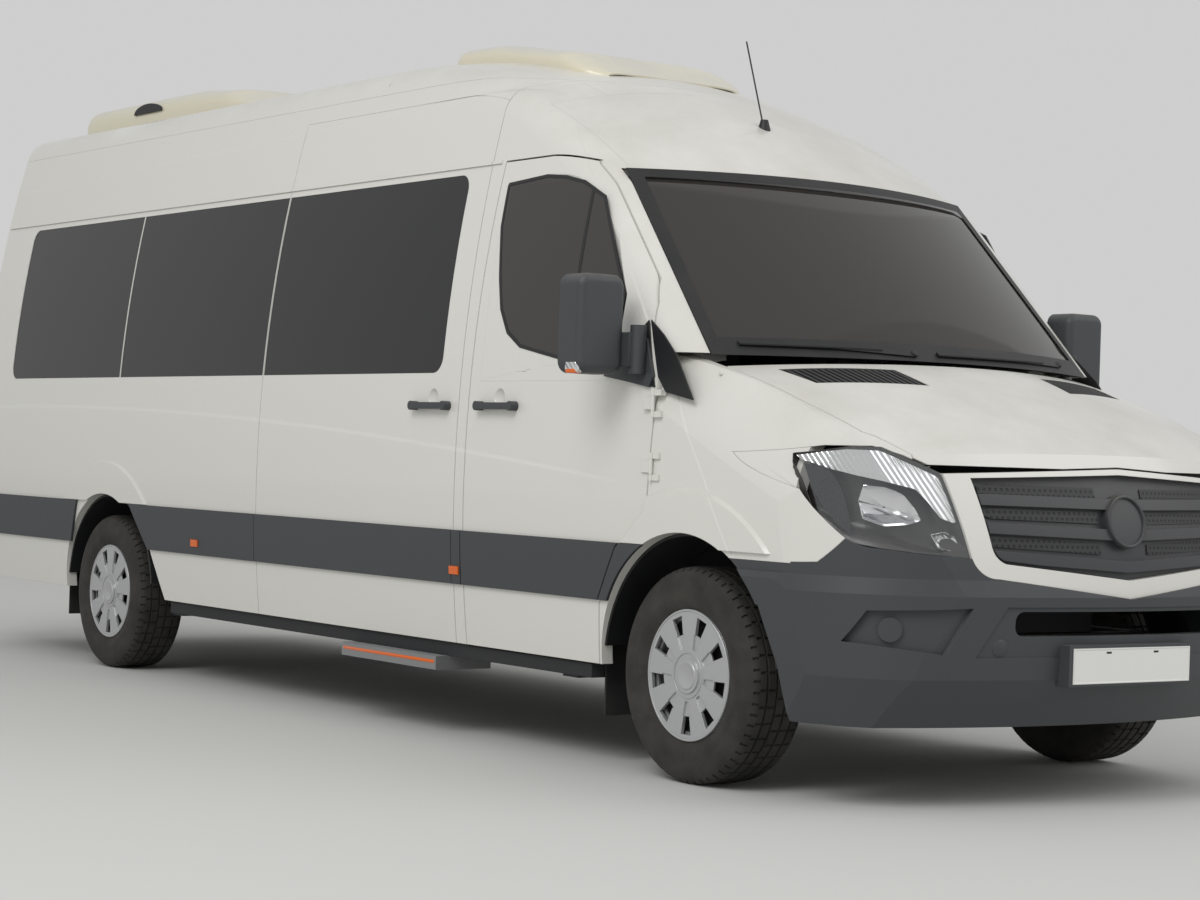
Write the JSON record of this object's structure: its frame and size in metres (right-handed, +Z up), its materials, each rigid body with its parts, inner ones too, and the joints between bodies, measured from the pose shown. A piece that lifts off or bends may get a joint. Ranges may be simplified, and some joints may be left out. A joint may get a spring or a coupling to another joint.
{
  "type": "minibus",
  "caption": "Long high-roof passenger van with tinted cabin windows, roof air-conditioning pods, opening doors and hood, steered front wheels and seats inside.",
  "frame": {"origin": "on the ground, under the middle of the overall box", "axes": "+X forward, +Y to the left side, +Z up"},
  "size_m": [6.96, 2.426, 2.7519],
  "materials": {
    "body_paint": "gloss",
    "floor_steel": "satin",
    "chassis_steel": "satin",
    "bumper_plastic": "textured",
    "trim_plastic": "textured",
    "grille_plastic": "satin",
    "lamp_clear": "clear",
    "lamp_red": "clear",
    "lamp_amber": "clear",
    "plate_white": "satin",
    "tinted_glass": "tinted",
    "clear_glass": "clear",
    "pod_shell": "satin",
    "step_metal": "satin",
    "engine_metal": "rough",
    "exhaust_steel": "dull",
    "cabin_plastic": "textured",
    "seat_fabric": "woven",
    "tyre_rubber": "matte",
    "flap_rubber": "matte",
    "wheel_silver": "silver",
    "spare_tyre": "matte"
  },
  "bodies": {
    "body": {"floor": "floor_steel", "roof": "body_paint", "cab_frame": "body_paint", "front_wings": "body_paint", "body_side_right": "body_paint", "body_side_left": "body_paint", "headlamps": "lamp_clear", "grille_surround": "body_paint", "grille": "grille_plastic", "front_bumper": "bumper_plastic", "number_plate": "plate_white", "windscreen": "clear_glass", "scuttle": "trim_plastic", "bulkhead": "floor_steel", "side_glass": "tinted_glass", "sliding_door": "body_paint", "sliding_door_glass": "tinted_glass", "side_mouldings": "bumper_plastic", "marker_lamps": "lamp_amber", "rear_bumper": "bumper_plastic", "tail_lamps": "lamp_red", "air_con_pods": "pod_shell", "aerial": "trim_plastic", "side_step": "step_metal", "mud_flaps": "flap_rubber", "arch_liners": "trim_plastic", "chassis": "chassis_steel", "rear_axle": "chassis_steel", "power_train": "engine_metal", "exhaust": "exhaust_steel", "fuel_tank": "cabin_plastic", "spare_wheel": "spare_tyre", "dashboard": "cabin_plastic", "front_seats": "seat_fabric", "passenger_seats": "seat_fabric"},
    "hood": {"hood": "body_paint", "hood_vents": "trim_plastic"},
    "steering_wheel": {"steering_wheel": "cabin_plastic"},
    "front_door_left": {"front_door_left": "body_paint", "front_door_left_glass": "clear_glass", "front_door_left_fittings": "trim_plastic"},
    "rear_door_left": {"rear_door_left": "body_paint", "rear_door_left_glass": "tinted_glass"},
    "knuckle_left": {"knuckle_left": "chassis_steel"},
    "wheel_front_left": {"tyre_front_left": "tyre_rubber", "wheel_front_left": "wheel_silver"},
    "wheel_rear_left": {"tyre_rear_left": "tyre_rubber", "wheel_rear_left": "wheel_silver"},
    "front_door_right": {"front_door_right": "body_paint", "front_door_right_glass": "clear_glass", "front_door_right_fittings": "trim_plastic"},
    "rear_door_right": {"rear_door_right": "body_paint", "rear_door_right_glass": "tinted_glass"},
    "knuckle_right": {"knuckle_right": "chassis_steel"},
    "wheel_front_right": {"tyre_front_right": "tyre_rubber", "wheel_front_right": "wheel_silver"},
    "wheel_rear_right": {"tyre_rear_right": "tyre_rubber", "wheel_rear_right": "wheel_silver"}
  },
  "joints": [
    {"name": "steer_left", "type": "hinge", "parent": "body", "child": "knuckle_left", "pos_m": [2.46, 0.745, 0.3], "axis": [0, -0.2425, 0.9701], "range_deg": [-35, 35]},
    {"name": "steer_right", "type": "hinge", "parent": "body", "child": "knuckle_right", "pos_m": [2.46, -0.745, 0.3], "axis": [0, 0.2425, 0.9701], "range_deg": [-35, 35]},
    {"name": "spin_front_left", "type": "hinge", "parent": "knuckle_left", "child": "wheel_front_left", "pos_m": [2.46, 0.84, 0.348], "axis": [0, 1, 0], "continuous": true},
    {"name": "spin_rear_left", "type": "hinge", "parent": "body", "child": "wheel_rear_left", "pos_m": [-1.865, 0.84, 0.348], "axis": [0, 1, 0], "continuous": true},
    {"name": "spin_front_right", "type": "hinge", "parent": "knuckle_right", "child": "wheel_front_right", "pos_m": [2.46, -0.84, 0.348], "axis": [0, 1, 0], "continuous": true},
    {"name": "spin_rear_right", "type": "hinge", "parent": "body", "child": "wheel_rear_right", "pos_m": [-1.865, -0.84, 0.348], "axis": [0, 1, 0], "continuous": true},
    {"name": "turn_steering_wheel", "type": "hinge", "parent": "body", "child": "steering_wheel", "pos_m": [1.85, 0.43, 1.15], "axis": [-0.766, 0, 0.6428], "range_deg": [-525, 525]},
    {"name": "open_hood", "type": "hinge", "parent": "body", "child": "hood", "pos_m": [2.514, 0, 1.314], "axis": [0, -1, 0], "range_deg": [0, 55]},
    {"name": "open_front_door_left", "type": "hinge", "parent": "body", "child": "front_door_left", "pos_m": [2.292, 0.992, 0.9], "axis": [0, 0, -1], "range_deg": [0, 70]},
    {"name": "open_rear_door_left", "type": "hinge", "parent": "body", "child": "rear_door_left", "pos_m": [-3.447, 0.888, 1.3], "axis": [0, 0, -1], "range_deg": [0, 180]},
    {"name": "open_front_door_right", "type": "hinge", "parent": "body", "child": "front_door_right", "pos_m": [2.292, -0.992, 0.9], "axis": [0, 0, 1], "range_deg": [0, 70]},
    {"name": "open_rear_door_right", "type": "hinge", "parent": "body", "child": "rear_door_right", "pos_m": [-3.447, -0.888, 1.3], "axis": [0, 0, 1], "range_deg": [0, 180]}
  ],
  "couplings": [
    {"joint": "steer_right", "follows": "steer_left", "ratio": 1},
    {"joint": "turn_steering_wheel", "follows": "steer_left", "ratio": 15}
  ]
}
